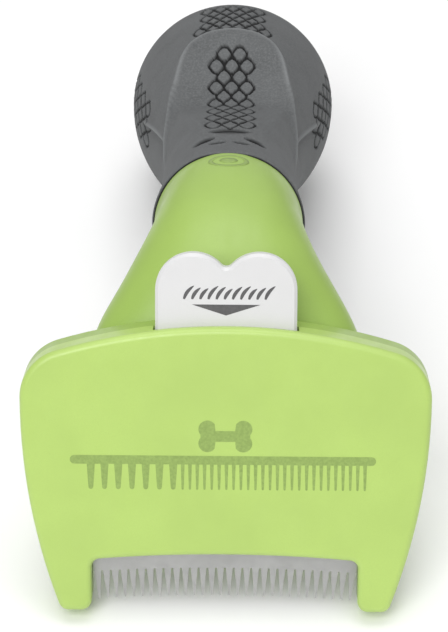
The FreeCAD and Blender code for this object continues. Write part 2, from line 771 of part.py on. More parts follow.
# ---------------------------------------------------------------- screws
def make_screw_shape(length, thread, head_radius, head):
    """Pan-head screw along +Z: its tip at the origin, its head on top, with a cross recess."""
    shank = Part.makeCylinder(thread, length)
    top = Part.makeCylinder(head_radius, head, Vector(0, 0, length))
    top = top.makeFillet(head * 0.35, [e for e in top.Edges if e.BoundBox.ZMin > length + 0.5 * head])
    screw = shank.fuse(top).removeSplitter()
    for turn in (0, 90):
        bar = Part.makeBox(head_radius * 1.3, 0.5, head * 0.6)
        bar.translate(Vector(-head_radius * 0.65, -0.25, length + head * 0.5))
        bar.rotate(Vector(0, 0, 0), Vector(0, 0, 1), turn)
        screw = screw.cut(bar)
    return screw


def screws_at(name, tips, direction, length, scale=1.0):
    """One node of identical screws, each with its tip at a point and its head along direction."""
    shape = make_screw_shape(
        length, size("screw_radius") * scale, size("screw_head_radius") * scale, size("screw_head")
    )
    turn = Rotation(Vector(0, 0, 1), direction)
    placed = []
    for tip in tips:
        copy = shape.copy()
        copy.Placement = Placement(tip, turn)
        placed.append(copy)
    group = doc.addObject("Part::Feature", name)
    group.Shape = placed[0] if len(placed) == 1 else Part.makeCompound(placed)
    return group


def make_head_screws():
    tip = size("front_wall") - 0.4
    floor = size("head_depth") + 1.0 - size("screw_head") - 1.6
    length = floor - tip
    blade = [
        Vector(x * size("blade_screw_offset"), tip, size("blade_screw_height")) for x in (1, -1)
    ]
    corner = [
        Vector(x * size("corner_screw_offset"), tip, size("corner_screw_height")) for x in (1, -1)
    ]
    back = Vector(0, 1, 0)
    return [
        screws_at("blade_screws", blade, back, length),
        screws_at("corner_screws", corner, back, length),
    ]


# ---------------------------------------------------------------- handle surface
RISE = math.radians(size("handle_rise"))
AXIS = Vector(0, math.cos(RISE), math.sin(RISE))
ACROSS = Vector(0, -math.sin(RISE), math.cos(RISE))
RING = Vector(0, size("ring_depth"), size("ring_height"))


def linear(places, x):
    """Value at x on straight lines through (place, value) pairs, flat outside them."""
    if x <= places[0][0]:
        return places[0][1]
    for (x0, y0), (x1, y1) in zip(places, places[1:]):
        if x <= x1:
            return y0 + (y1 - y0) * (x - x0) / (x1 - x0)
    return places[-1][1]


def soft_min(a, b, blend):
    """The smaller of two radii, rounded where they cross."""
    share = max(blend - abs(a - b), 0.0) / blend
    return min(a, b) - share * share * blend / 4


# radius of the grip's sides and of its crown, by distance along it, then the thumb ramp's height
SIDES = [(0.0, 13.7), (7.0, 13.0), (14.0, 12.5), (24.0, 12.4), (34.0, 13.0), (44.0, 14.4), (54.0, 16.5),
         (64.0, 18.6), (72.0, 19.8), (80.0, 20.3)]
CROWN = [(0.0, 13.7), (7.0, 13.2), (24.0, 13.6), (40.0, 17.0), (52.0, 19.8), (58.0, 20.3)]
NECK_TOP = [(0.0, 13.6), (8.0, 12.9), (24.0, 12.2), (40.0, 11.6)]
RAMP_START = 40.0


def pear_radius(along, angle):
    """Radius of the pear-shaped grip without its thumb ramp. Its top is fuller than its sides."""
    palm, place = size("palm_radius"), size("palm_place")
    if along >= place:
        reach = (along - place) / (size("handle_length") - place)
        return palm * math.sqrt(max(1.0 - reach**2.3, 0.0))
    top = max(math.sin(angle), 0.0) ** 2
    return linear(SIDES, along) * (1 - top) + linear(CROWN, along) * top


def thumb_height(along):
    """Height of the thumb ramp above the axis: level along the neck, then rising to the crest."""
    return linear(NECK_TOP, along) + 0.0844 * max(along - RAMP_START, 0.0) ** 1.6


def grip_radius(along, angle, inset=0.0):
    """Radius of the grip towards an angle from its right side, 90 degrees being its top."""
    radius = pear_radius(along, angle)
    up, side = math.sin(angle), math.cos(angle)
    if up > 0.05:
        cut = (thumb_height(along) - 1.5 * side**2) / up
        radius = soft_min(radius, cut, 1.0)
    return radius - inset


def handle_point(along, angle, radius):
    """Point on the handle at a distance from its axis, along it and towards an angle round it."""
    sideways = Vector(radius * math.cos(angle), 0, 0)
    return RING + AXIS * along + ACROSS * (radius * math.sin(angle)) + sideways


def closed_curve(points):
    spline = Part.BSplineCurve()
    spline.interpolate(points, PeriodicFlag=True)
    return Part.Wire([spline.toShape()])


def section_object(name, points):
    section = doc.addObject("Part::Feature", name)
    section.Shape = closed_curve(points)
    return section


def loft_object(name, sections):
    loft = doc.addObject("Part::Loft", name)
    loft.Sections = sections
    loft.Solid = True
    loft.Ruled = False
    doc.recompute()
    return loft


def handle_loft(name, stations, inset, points=28):
    """Solid through cross-sections of the grip's surface, moved inwards by inset."""
    sections = []
    for number, along in enumerate(stations):
        ring = []
        for k in range(points):
            angle = 2 * math.pi * (k + 0.5) / points
            ring.append(handle_point(along, angle, grip_radius(along, angle, inset)))
        sections.append(section_object(f"{name}_{number}", ring))
    return loft_object(name, sections)


# ---------------------------------------------------------------- neck surface
NECK = [
    # front point (Y, Z), back point (Y, Z), half width: each section's plane holds both points
    ((8.5, 21.0), (9.7, 21.0), 16.0),
    ((8.6, 33.0), (13.4, 31.0), 21.0),
    ((9.4, 46.0), (23.0, 39.5), 23.0),
    ((12.0, 56.7), (32.0, 44.0), 18.8),
    ((21.5, 66.7), (37.0, 45.8), 14.2),
]


def neck_sections(inset):
    """Front point, back point and half width of each neck section, moved inwards by inset."""
    ring = size("ring_radius")
    stations = list(NECK)
    last_front = RING + ACROSS * ring
    last_back = RING - ACROSS * ring
    stations.append(((last_front.y, last_front.z), (last_back.y, last_back.z), ring))
    made = []
    for front, back, half in stations:
        f, b = Vector(0, *front), Vector(0, *back)
        inwards = (b - f).normalize()
        made.append((f + inwards * inset, b - inwards * inset, half - inset))
    return made


def neck_loft(name, inset, first, squareness=2.5, points=24):
    """Solid through the neck's sections, each a superellipse that turns into a circle at the
    handle."""
    sections = []
    stations = neck_sections(inset)
    for number, (front, back, half) in enumerate(stations[first:]):
        centre = (front + back) * 0.5
        reach = (front - back) * 0.5
        last = number + first == len(stations) - 1
        power = 2.0 / (2.0 if last else squareness)
        ring = []
        for k in range(points):
            angle = 2 * math.pi * (k + 0.5) / points
            c, s = math.cos(angle), math.sin(angle)
            across = math.copysign(abs(c) ** power, c)
            up = math.copysign(abs(s) ** power, s)
            ring.append(centre + reach * up + Vector(half * across, 0, 0))
        sections.append(section_object(f"{name}_{number}", ring))
    return loft_object(name, sections)


def prism_across(name, corners, half_width):
    """Block with that outline in the Y-Z plane, running across X on both sides."""
    wire = Part.makePolygon([Vector(-half_width, y, z) for y, z in corners + corners[:1]])
    block = doc.addObject("Part::Feature", name)
    block.Shape = Part.Face(wire).extrude(Vector(2 * half_width, 0, 0))
    return block


def boolean(kind, name, base, tool):
    feature = doc.addObject(kind, name)
    feature.Base = base
    feature.Tool = tool
    doc.recompute()
    return feature


def fused(name, shapes):
    feature = doc.addObject("Part::MultiFuse", name)
    feature.Shapes = shapes
    doc.recompute()
    return feature


def cylinder(name, start, direction, radius, length):
    rod = doc.addObject("Part::Cylinder", name)
    rod.setExpression("Radius", Dim.of(radius).text)
    rod.setExpression("Height", Dim.of(length).text)
    rod.Placement = Placement(start, Rotation(Vector(0, 0, 1), direction))
    return rod


def make_neck(back_head):
    """Neck cover and back shell: the neck's wall is split along its middle line, and the back
    half is joined to the back of the head."""
    outer = neck_loft("neck_outer", 0.0, 0)
    inner = neck_loft("neck_inner", size("neck_wall"), 2)
    # two screw columns stay standing in the hollow and join the halves
    depth, offset = size("neck_screw_depth"), size("neck_screw_offset")
    columns = []
    for side in (1, -1):
        start = Vector(side * offset, depth, 30.0)
        column_radius = cell("neck_column")
        columns.append(cylinder(f"column_{side + 1}", start, Vector(0, 0, 1), column_radius, 45.0))
    column_pair = fused("columns", columns)
    hollow = boolean("Part::Cut", "neck_hollow", inner, column_pair)
    wall = boolean("Part::Cut", "neck_wall_solid", outer, hollow)
    stations = neck_sections(0.0)
    middle = [((f + b) * 0.5) for f, b, _ in stations]
    # the cover is what lies in front of the middle line and above the head's top edge
    line = [(p.y, p.z) for p in middle[2:]]
    end = middle[-1] + AXIS * 6
    corners = [(-4.0, line[0][1]), *line, (end.y, end.z), (end.y, 95.0), (-4.0, 95.0)]
    upper = prism_across("neck_upper_zone", corners, 40.0)
    head_body = new_body("head_prism")
    outline = front_sketch(head_body, "prism_outline", -1.0)
    o = head_outline()
    high = o["side"](o["side_end"])
    top_right = o["top"](o["top_end"])
    mid = o["corner"]((o["side_end"] + o["top_end"]) / 2)
    draw_outline(
        outline,
        (high[0], 20.0),
        [
            (high,),
            (top_right, mid),
            (mirrored(top_right), (0.0, cell("head_height"))),
            (mirrored(high), mirrored(mid)),
            ((-high[0], 20.0),),
            ((high[0], 20.0),),
        ],
    )
    pad(head_body, outline, 60.0)
    above = boolean("Part::Cut", "above_head", upper, head_body)
    cover_wall = boolean("Part::Common", "cover_wall", wall, above)
    back_wall = boolean("Part::Cut", "back_wall", wall, above)
    back_raw = fused("back_raw", [back_head, back_wall])
    holes = []
    for side in (1, -1):
        x = side * offset
        start = Vector(x, depth, 30.0)
        shank = cell("screw_radius") + 0.05
        holes.append(cylinder(f"neck_hole_{side + 1}", start, Vector(0, 0, 1), shank, 30.0))
        recess = cell("screw_head_radius") + cell("screw_clearance")
        holes.append(cylinder(f"neck_recess_{side + 1}", start, Vector(0, 0, 1), recess, 13.0))
    lock = RING - AXIS * size("lock_place")
    lock_tip = lock - ACROSS * 8.2
    holes.append(cylinder("lock_hole", lock_tip, -ACROSS, shank, 8.0))
    holes.append(cylinder("lock_recess", lock - ACROSS * 11.6, -ACROSS, recess, 4.0))
    cutter = fused("neck_cutter", holes)
    neck_cover = boolean("Part::Cut", "neck_cover_cut", cover_wall, cutter)
    back_shell = boolean("Part::Cut", "back_shell_cut", back_raw, cutter)
    tip_z, recess_top = 58.5, 43.0
    screws = [
        screws_at(
            "neck_screws",
            [Vector(side * offset, depth, tip_z) for side in (1, -1)],
            Vector(0, 0, -1),
            tip_z - recess_top,
        ),
        screws_at("handle_screw", [lock_tip + ACROSS * 1.0], -ACROSS, 4.4),
    ]
    return neck_cover, back_shell, outer, screws


# ---------------------------------------------------------------- grip and its core
OUTER_STATIONS = [0.0, 4.0, 10.0, 18.0, 26.0, 33.0, 40.0, 46.0, 51.0, 55.0, 59.0, 63.0, 67.0, 72.0,
                  80.0, 87.0, 92.5, 96.5, 98.8]
CORE_STATIONS = [0.0, 4.0, 10.0, 17.0, 24.0, 30.0, 36.0, 41.0, 46.0, 50.0, 54.0, 60.0, 66.0, 74.0, 82.0,
                 88.0, 92.5, 95.4]


# distances along the grip to the screws that join the core's halves
CORE_SCREWS = [24.0, 52.0, 78.0]


def core_hollow():
    """Room inside the core: a bore right through the spigot that widens into a ball inside the
    fat end."""
    narrow = size("ring_radius") - size("grip_wall") - size("core_wall") - 1.6
    ball_radius = size("palm_radius") - size("grip_wall") - size("core_wall")
    ball_centre = RING + AXIS * (size("palm_place") - 2.0)
    mouth = size("spigot_length") + 1.0
    tube = cylinder("core_tube", RING - AXIS * mouth, AXIS, narrow, mouth + 66.0)
    ball = doc.addObject("Part::Sphere", "core_ball")
    ball.Radius = ball_radius
    ball.Placement = Placement(ball_centre, Rotation())
    return fused("core_hollow", [tube, ball])


def make_handle():
    """Rubber grip over a two-part plastic core whose spigot plugs into the neck."""
    outer = handle_loft("grip_outer", OUTER_STATIONS, 0.0)
    inner = handle_loft("core_outer", CORE_STATIONS, size("grip_wall"))
    hollow = core_hollow()
    grip = boolean("Part::Cut", "grip_cut", outer, inner)
    spigot_start = RING - AXIS * size("spigot_length")
    spigot_length = cell("spigot_length") + 1.0
    spigot = cylinder("spigot", spigot_start, AXIS, cell("spigot_radius"), spigot_length)
    solid = fused("core_solid", [inner, spigot])
    columns = []
    for number, along in enumerate(CORE_SCREWS):
        start = RING + AXIS * along - ACROSS * 22.0
        column_radius = cell("core_column")
        columns.append(cylinder(f"core_column_{number}", start, ACROSS, column_radius, 44.0))
    column_group = fused("core_columns", columns)
    room = boolean("Part::Cut", "core_room", hollow, column_group)
    whole = boolean("Part::Cut", "core_whole", solid, room)
    holes = []
    for number, along in enumerate(CORE_SCREWS):
        start = RING + AXIS * along - ACROSS * 7.0
        pilot = cell("screw_radius") + 0.02
        holes.append(cylinder(f"core_pilot_{number}", start, ACROSS, pilot, 12.0))
        seat = cell("screw_head_radius") + cell("screw_clearance")
        back = RING + AXIS * along - ACROSS * 5.0
        holes.append(cylinder(f"core_seat_{number}", back, -ACROSS, seat, 20.0))
    lock_start = RING - AXIS * size("lock_place") - ACROSS * 6.8
    holes.append(cylinder("core_lock_hole", lock_start, -ACROSS, pilot, 6.0))
    drill = fused("core_drill", holes)
    drilled = boolean("Part::Cut", "core_drilled", whole, drill)
    far = RING + AXIS * 130
    near = RING - AXIS * 30
    halves = []
    for name, up in (("core_upper_half", 60.0), ("core_lower_half", -60.0)):
        corners = [(near.y, near.z), (far.y, far.z), (far.y, far.z + up), (near.y, near.z + up)]
        zone = prism_across(name + "_zone", corners, 40.0)
        halves.append(boolean("Part::Common", name, drilled, zone))
    upper, lower = halves
    tips = [RING + AXIS * along + ACROSS * 4.0 for along in CORE_SCREWS]
    screws = screws_at("core_screws", tips, -ACROSS, 9.0)
    return grip, upper, lower, screws


# ---------------------------------------------------------------- rest placement
def rest_tilt():
    """Angle that brings the skin guards and the fat end down to one table."""
    low, high = math.radians(5), math.radians(40)
    for _ in range(40):
        tilt = (low + high) / 2
        down = (math.sin(tilt), -math.cos(tilt))
        r = size("edge_round")
        guard = (size("foot_depth") - r) * down[0] + r * down[1] + r
        palm = -1e9
        for step in range(200):
            along = size("handle_length") * step / 200
            p = handle_point(along, -math.pi / 2, grip_radius(along, -math.pi / 2))
            palm = max(palm, p.y * down[0] + p.z * down[1])
        if palm < guard:
            low = tilt
        else:
            high = tilt
    return (low + high) / 2


def whole_box(shapes, placement):
    box = FreeCAD.BoundBox()
    for shape in shapes:
        moved = shape.copy()
        moved.Placement = placement.multiply(moved.Placement)
        box.add(moved.optimalBoundingBox(False, False))
    return box


def main():
    cover = make_face_cover()
    back_head = make_back_head()
    blade = make_blade()
    button = make_button()
    slider = make_slider()
    plate = make_plate()
    rivets = make_rivets()
    springs = [make_spring("return_spring_left", -1), make_spring("return_spring_right", 1)]
    head_screws = make_head_screws()
    neck_cover, back_shell, neck_outer, neck_screws = make_neck(back_head)
    grip, core_upper, core_lower, core_screws = make_handle()
    nodes = {
        "face_cover": cover,
        "back_shell": back_shell,
        "neck_cover": neck_cover,
        "deshedding_blade": blade,
        "ejector_button": button,
        "ejector_slider": slider,
        "ejector_plate": plate,
        "ejector_rivets": rivets,
        "return_spring_left": springs[0],
        "return_spring_right": springs[1],
        "blade_screws": head_screws[0],
        "corner_screws": head_screws[1],
        "neck_screws": neck_screws[0],
        "handle_screw": neck_screws[1],
        "core_upper": core_upper,
        "core_lower": core_lower,
        "core_screws": core_screws,
        "grip_sleeve": grip,
    }
    doc.recompute()
    bad = [o.Name for o in doc.Objects if "Invalid" in o.State or "Error" in o.State]
    if bad:
        raise RuntimeError(f"failed objects: {bad}")
    tilt = math.degrees(rest_tilt())
    lay = Placement(Vector(), Rotation(Vector(1, 0, 0), -tilt))
    box = whole_box([o.Shape for o in nodes.values()], lay)
    shift = Vector(-(box.XMin + box.XMax) / 2, -(box.YMin + box.YMax) / 2, -box.ZMin)
    rest = Placement(shift, lay.Rotation)
    print("tilt", tilt, "shift", shift, "box", box)
    os.makedirs("parts", exist_ok=True)
    for name, node in nodes.items():
        node.Placement = rest.multiply(node.Placement)
        node.Label = name
    doc.recompute()
    for name, node in nodes.items():
        shape = node.Shape
        if shape.isNull() or not shape.isValid() or not shape.Solids:
            raise RuntimeError(f"{name} has no valid solid")
        print(name, len(shape.Solids), "solids", round(shape.Volume, 1), "mm3")
        shape.exportStep(os.path.join("parts", name + ".step"))


main()
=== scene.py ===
"""Looks of the deshedding tool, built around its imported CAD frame. Lengths are in millimetres in
the tool's own axes, X across the head, Y from the face towards the handle, Z up from the tips of
the skin guards, and place() puts them into the row's frame in metres."""

import json
import math
import bmesh
import bpy
import numpy as np
from mathutils import Matrix, Vector
from mathutils.bvhtree import BVHTree


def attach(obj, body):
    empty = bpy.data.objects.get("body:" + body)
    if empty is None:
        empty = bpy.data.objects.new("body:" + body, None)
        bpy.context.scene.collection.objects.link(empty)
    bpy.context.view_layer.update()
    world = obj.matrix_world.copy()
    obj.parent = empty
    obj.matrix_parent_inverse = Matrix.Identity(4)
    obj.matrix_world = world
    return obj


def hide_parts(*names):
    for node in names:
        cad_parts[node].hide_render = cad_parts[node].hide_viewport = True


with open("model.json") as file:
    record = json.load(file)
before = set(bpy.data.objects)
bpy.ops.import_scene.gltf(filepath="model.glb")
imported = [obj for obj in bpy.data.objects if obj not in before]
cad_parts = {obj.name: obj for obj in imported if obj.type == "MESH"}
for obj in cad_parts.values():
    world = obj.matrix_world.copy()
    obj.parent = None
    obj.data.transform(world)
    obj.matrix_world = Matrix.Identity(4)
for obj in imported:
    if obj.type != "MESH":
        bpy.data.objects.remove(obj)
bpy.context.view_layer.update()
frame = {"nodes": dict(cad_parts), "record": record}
record = frame["record"]

# ---------------------------------------------------------------- the tool's own axes
MM = 0.001
FACE_MOUNT_HEIGHT = 28.0  # where part.py puts the face mount, over the guard tips
slide = next(j for j in record["behaviour"]["joints"] if j["name"] == "ejector_slide")
face_mount = next(m for m in record["mounts"] if m["name"] == "head_face")
X_AXIS = Vector((1.0, 0.0, 0.0))
Y_AXIS = -Vector(face_mount["axis"]).normalized()
Z_AXIS = -Vector(slide["axis"]).normalized()
ORIGIN = Vector(face_mount["pos_m"]) - Z_AXIS * FACE_MOUNT_HEIGHT * MM
BASIS = np.array([X_AXIS, Y_AXIS, Z_AXIS]) * MM

# the handle's axis, from the middle of the ring where the grip meets the neck
RISE = math.radians(6.6)
RING = np.array((0.0, 38.2, 59.4))
AXIS = np.array((0.0, math.cos(RISE), math.sin(RISE)))
ACROSS = np.array((0.0, -math.sin(RISE), math.cos(RISE)))


def place(points):
    """Points in the tool's axes and millimetres, as points of the row frame in metres."""
    return np.asarray(points, float) @ BASIS + np.array(ORIGIN)


def new_object(name, points, faces, smooth=True):
    """A mesh object in the scene, with its normals facing outwards."""
    mesh = bpy.data.meshes.new(name)
    mesh.from_pydata([tuple(p) for p in points], [], [tuple(f) for f in faces])
    mesh.validate()
    made = bmesh.new()
    made.from_mesh(mesh)
    bmesh.ops.recalc_face_normals(made, faces=made.faces)
    made.to_mesh(mesh)
    made.free()
    mesh.polygons.foreach_set("use_smooth", [smooth] * len(mesh.polygons))
    piece = bpy.data.objects.new(name, mesh)
    bpy.context.scene.collection.objects.link(piece)
    return piece


def grid_faces(rows, columns):
    """Quads of a tube of rings, closed round, one ring per row."""
    faces = []
    for r in range(rows - 1):
        for c in range(columns):
            d = (c + 1) % columns
            here, above = r * columns, (r + 1) * columns
            faces.append((here + c, here + d, above + d, above + c))
    return faces


# ---------------------------------------------------------------- materials
class Shader:
    """A node material with a Principled shader and short calls for what feeds it."""

    def __init__(self, name, colour, roughness, metallic=0.0, **sockets):
        self.material = bpy.data.materials.new(name)
        self.material.use_nodes = True
        self.tree = self.material.node_tree
        self.shader = self.tree.nodes["Principled BSDF"]
        self.shader.inputs["Base Color"].default_value = (*colour, 1.0)
        self.shader.inputs["Roughness"].default_value = roughness
        self.shader.inputs["Metallic"].default_value = metallic
        for socket, value in sockets.items():
            self.shader.inputs[socket.replace("_", " ")].default_value = value
        self.place = self.tree.nodes.new("ShaderNodeTexCoord").outputs["Object"]

    def node(self, kind, inputs=None, **settings):
        node = self.tree.nodes.new(kind)
        for key, value in settings.items():
            setattr(node, key, value)
        for socket, value in (inputs or {}).items():
            if isinstance(value, bpy.types.NodeSocket):
                self.tree.links.new(value, node.inputs[socket])
            else:
                node.inputs[socket].default_value = value
        return node

    def stretched(self, scale):
        mapping = self.node("ShaderNodeMapping", {"Vector": self.place, "Scale": scale})
        return mapping.outputs["Vector"]

    def noise(self, size_mm, detail=3.0, where=None, roughness=0.55):
        where = self.place if where is None else where
        inputs = {
            "Vector": where,
            "Scale": 1.0 / (size_mm * MM),
            "Detail": detail,
            "Roughness": roughness,
        }
        return self.node("ShaderNodeTexNoise", inputs).outputs["Fac"]

    def ramp(self, value, low, high, start=0.35, end=0.65):
        inputs = {"Value": value, "From Min": start, "From Max": end, "To Min": low, "To Max": high}
        return self.node("ShaderNodeMapRange", inputs).outputs["Result"]

    def mix(self, share, a, b):
        mixer = self.node("ShaderNodeMix", {"Factor": share}, data_type="RGBA")
        for socket, value in ((mixer.inputs[6], a), (mixer.inputs[7], b)):
            if isinstance(value, bpy.types.NodeSocket):
                self.tree.links.new(value, socket)
            else:
                socket.default_value = (*value, 1.0)
        return mixer.outputs[2]

    def drive(self, socket, output):
        self.tree.links.new(output, self.shader.inputs[socket])

    def bump(self, layers):
        """Bumps from (height output, strength, depth in mm), one on top of the other."""
        normal = None
        for height, strength, depth in layers:
            inputs = {"Height": height, "Strength": strength, "Distance": depth * MM}
            if normal is not None:
                inputs["Normal"] = normal
            normal = self.node("ShaderNodeBump", inputs).outputs["Normal"]
        self.drive("Normal", normal)


def shade(colour, factor):
    """The colour made darker or lighter by a factor."""
    return tuple(min(c * factor, 1.0) for c in colour)


GREEN = (0.450, 0.625, 0.158)
# painted shade: a darker copy of GREEN for the neck and the back of the head, which are the same
# plastic as the face
SHADED_NECK_GREEN = (0.335, 0.490, 0.105)
INK_GREEN = (0.270, 0.385, 0.100)
WHITE = (0.690, 0.687, 0.690)
INK_GREY = (0.100, 0.098, 0.100)
RUBBER = (0.102, 0.106, 0.108)
INNER_GREY = (0.060, 0.060, 0.065)
BLADE_GREY = (0.62, 0.62, 0.61)
FASTENER_GREY = (0.50, 0.50, 0.51)


def moulded_plastic(name, colour, roughness, tone=0.05, coat=0.12):
    """Satin moulded plastic: faint cloudy tone, fine spark-eroded grain and a few scuffs."""
    s = Shader(name, colour, roughness, IOR=1.48, Coat_Weight=coat, Coat_Roughness=0.28)
    clouds = s.noise(14.0, 4.0)
    grain = s.noise(0.22, 2.0)
    dark, light = shade(colour, 1.0 - tone), shade(colour, 1.0 + tone * 0.6)
    base = s.mix(s.ramp(clouds, 0.0, 1.0), dark, light)
    speck = s.mix(s.ramp(grain, 0.0, 0.5, 0.3, 0.75), base, shade(colour, 1.0 - tone * 1.4))
    s.drive("Base Color", speck)
    scuffs = s.noise(1.6, 5.0, s.stretched((1.0, 0.35, 0.35)))
    s.drive("Roughness", s.ramp(scuffs, roughness - 0.05, roughness + 0.07, 0.3, 0.7))
    s.bump([(grain, 0.25, 0.012), (s.noise(5.0, 3.0), 0.3, 0.03)])
    return s.material


def soft_rubber():
    """Moulded rubber: speckled stone-like grain, dusty patches, a painted highlight along the
    raised crests and painted shade in the grooves.
    """
    s = Shader("grip_rubber", RUBBER, 0.72, Specular_IOR_Level=0.28)
    grain = s.noise(0.42, 3.0, roughness=0.7)
    patches = s.noise(9.0, 4.0)
    dust = s.noise(2.4, 5.0)
    tone = s.mix(s.ramp(patches, 0.0, 1.0), shade(RUBBER, 0.90), shade(RUBBER, 1.10))
    dusty = s.mix(s.ramp(dust, 0.0, 0.5, 0.45, 0.75), tone, shade(RUBBER, 1.22))
    speck = s.mix(s.ramp(grain, 0.0, 1.0, 0.42, 0.68), dusty, shade(RUBBER, 1.55))
    # painted shade: the groove attribute colours the grooves, slots, tray and lip gap nearly black
    groove = s.node("ShaderNodeAttribute", attribute_name="groove").outputs["Fac"]
    crest_highlight = s.node("ShaderNodeAttribute", attribute_name="crest_highlight").outputs["Fac"]
    # painted highlight: the rubber is lightened along the raised crests
    highlighted = s.mix(crest_highlight, speck, shade(RUBBER, 2.3))
    s.drive("Base Color", s.mix(groove, highlighted, shade(RUBBER, 0.05)))
    s.drive("Roughness", s.ramp(grain, 0.62, 0.84))
    s.bump([(grain, 0.8, 0.09), (s.noise(1.1, 3.0), 0.3, 0.07)])
    return s.material


def ground_steel(name, colour, roughness, along):
    """Ground steel: fine scratches along one direction, a little tarnish."""
    s = Shader(name, colour, roughness, metallic=1.0)
    scratches = s.noise(0.10, 4.0, s.stretched(along), 0.7)
    stain = s.noise(4.0, 4.0)
    tarnish = s.mix(s.ramp(stain, 0.0, 1.0), shade(colour, 0.93), shade(colour, 1.03))
    s.drive("Base Color", tarnish)
    s.drive("Roughness", s.ramp(scratches, roughness - 0.08, roughness + 0.10, 0.3, 0.7))
    s.bump([(scratches, 0.25, 0.01)])
    return s.material


def printed_ink(name, colour, roughness=0.45):
    """Pad-printed ink: slightly uneven cover."""
    s = Shader(name, colour, roughness, IOR=1.48)
    cover = s.noise(0.5, 4.0)
    patchy = s.mix(s.ramp(cover, 0.0, 1.0), shade(colour, 0.90), shade(colour, 1.10))
    s.drive("Base Color", patchy)
    s.drive("Roughness", s.ramp(cover, roughness - 0.05, roughness + 0.08))
    s.bump([(cover, 0.2, 0.01)])
    return s.material


GREEN_PLASTIC = moulded_plastic("green_plastic", GREEN, 0.36)
SHADED_NECK_PLASTIC = moulded_plastic("shaded_neck_plastic", SHADED_NECK_GREEN, 0.42)
WHITE_PLASTIC = moulded_plastic("white_plastic", WHITE, 0.38, tone=0.015)
INNER_PLASTIC = moulded_plastic("inner_plastic", INNER_GREY, 0.5)
GRIP_RUBBER = soft_rubber()
BLADE_STEEL = ground_steel("blade_steel", BLADE_GREY, 0.36, (0.06, 1.0, 1.0))
FASTENER_STEEL = ground_steel("fastener_steel", FASTENER_GREY, 0.34, (1.0, 1.0, 0.2))
GREEN_INK = printed_ink("green_ink", INK_GREEN)
GREY_INK = printed_ink("grey_ink", INK_GREY)


def paint(piece, material):
    """Give the piece this one material."""
    piece.data.materials.clear()
    piece.data.materials.append(material)


NODE_MATERIALS = {
    "face_cover": GREEN_PLASTIC,
    # painted shade: the back and the neck get the darker copy of the green
    "back_shell": SHADED_NECK_PLASTIC,
    "neck_cover": SHADED_NECK_PLASTIC,
    "deshedding_blade": BLADE_STEEL,
    "ejector_plate": BLADE_STEEL,
    "ejector_button": WHITE_PLASTIC,
    "ejector_slider": INNER_PLASTIC,
    "core_upper": INNER_PLASTIC,
    "core_lower": INNER_PLASTIC,
}
for node_name, node in frame["nodes"].items():
    paint(node, NODE_MATERIALS.get(node_name, FASTENER_STEEL))


# ---------------------------------------------------------------- grip
GRIP_LENGTH = 100.0
PALM = 20.3  # radius of the fat end
PALM_PLACE = 80.0  # where the end starts to round over
# (distance along the grip, radius) of its sides, of its top, and of the thumb's ramp
SIDES = (
    (0, 13.7), (7, 13.0), (14, 12.5), (24, 12.4), (34, 13.0),
    (44, 14.4), (54, 16.5), (64, 18.6), (72, 19.8), (PALM_PLACE, PALM),
)
CROWN = ((0, 13.7), (7, 13.2), (24, 13.6), (40, 17.0), (52, 19.8), (58, PALM), (PALM_PLACE, PALM))
RAMP = ((0, 13.6), (8, 12.9), (24, 12.2), (40, 11.6), (80, 11.6))
RAMP_START = 40.0
RAMP_RISE, RAMP_POWER = 0.0553, 1.7
RAMP_BLEND = 0.8
RAMP_HOLLOW = 1.5  # how much lower the ramp is at its sides
FLAT_TURN = 0.05  # the ramp is cut only where the sine of the angle is over this

EDGE_END = 61.8  # where the ramp's raised edge crosses the top

# moulded grooves
GROOVE_DEPTH = 0.42
SLOT_DEPTH = 0.8
CELL_PITCH = 3.19
THUMB_START, THUMB_END, THUMB_ROWS, THUMB_CELL = 22.2, 59.0, 12, 3.13
PALM_START, PALM_PITCH, PALM_CELL, PALM_CELL_LENGTH = 62.6, 2.9, 2.6, 4.9
PALM_COUNTS = (5, 6, 5, 4, 5, 4, 5)
PALM_EDGE = 61.9  # the palm rows stop just past the ramp's edge
SIDE_ANGLES = (172, 8)
SIDE_START, SIDE_PITCH, SIDE_ROWS, SIDE_CELL, SIDE_CELL_LENGTH = 57.0, 3.15, 8, 3.1, 5.0
# (ends as (across, along) pairs, half width) of the slots next to the ring, on one side
SLOTS = (
    (((2.8, 12.4), (6.5, 9.2)), 1.35),
    (((0.6, 8.7), (3.7, 7.6)), 0.95),
)
TRAY_PLACE, TRAY_HALF_WIDTH, TRAY_BOW, TRAY_DEPTH = 16.6, 4.1, 2.5, 0.35


def smooth_table(table, x, blur=3.0):
    """Value at x on straight lines through the table, softened over a length of blur."""
    places, values = zip(*table)
    taps = np.linspace(-1.0, 1.0, 9)
    return sum(np.interp(x + tap * blur, places, values) for tap in taps) / len(taps)


def soft_min(a, b, blend):
    """The lesser of a and b, rounded where they cross."""
    share = np.maximum(blend - np.abs(a - b), 0.0) / blend
    return np.minimum(a, b) - share * share * blend / 4


def thumb_height(along):
    """Height of the thumb ramp over the handle's axis."""
    climb = np.maximum(along - RAMP_START, 0.0) ** RAMP_POWER
    return smooth_table(RAMP, along) + RAMP_RISE * climb


def grip_radius(along, angle):
    """Radius of the plain skin: a pear whose top is cut down by the thumb ramp."""
    top = np.maximum(np.sin(angle), 0.0) ** 2
    pear = smooth_table(SIDES, along) * (1 - top) + smooth_table(CROWN, along) * top
    reach = np.clip((along - PALM_PLACE) / (GRIP_LENGTH - PALM_PLACE), 0.0, 1.0)
    pear = np.where(along > PALM_PLACE, PALM * np.sqrt(1 - reach**2.3), pear)
    up = np.maximum(np.sin(angle), FLAT_TURN)
    cut = (thumb_height(along) - RAMP_HOLLOW * np.cos(angle) ** 2) / up
    return np.where(np.sin(angle) > FLAT_TURN, soft_min(pear, cut, RAMP_BLEND), pear)


def dip(distance, half_width):
    """Cross-section of a moulded groove: 1 on its middle line, 0 at its edges."""
    return np.clip(1.0 - (np.abs(distance) / half_width) ** 2, 0.0, 1.0)


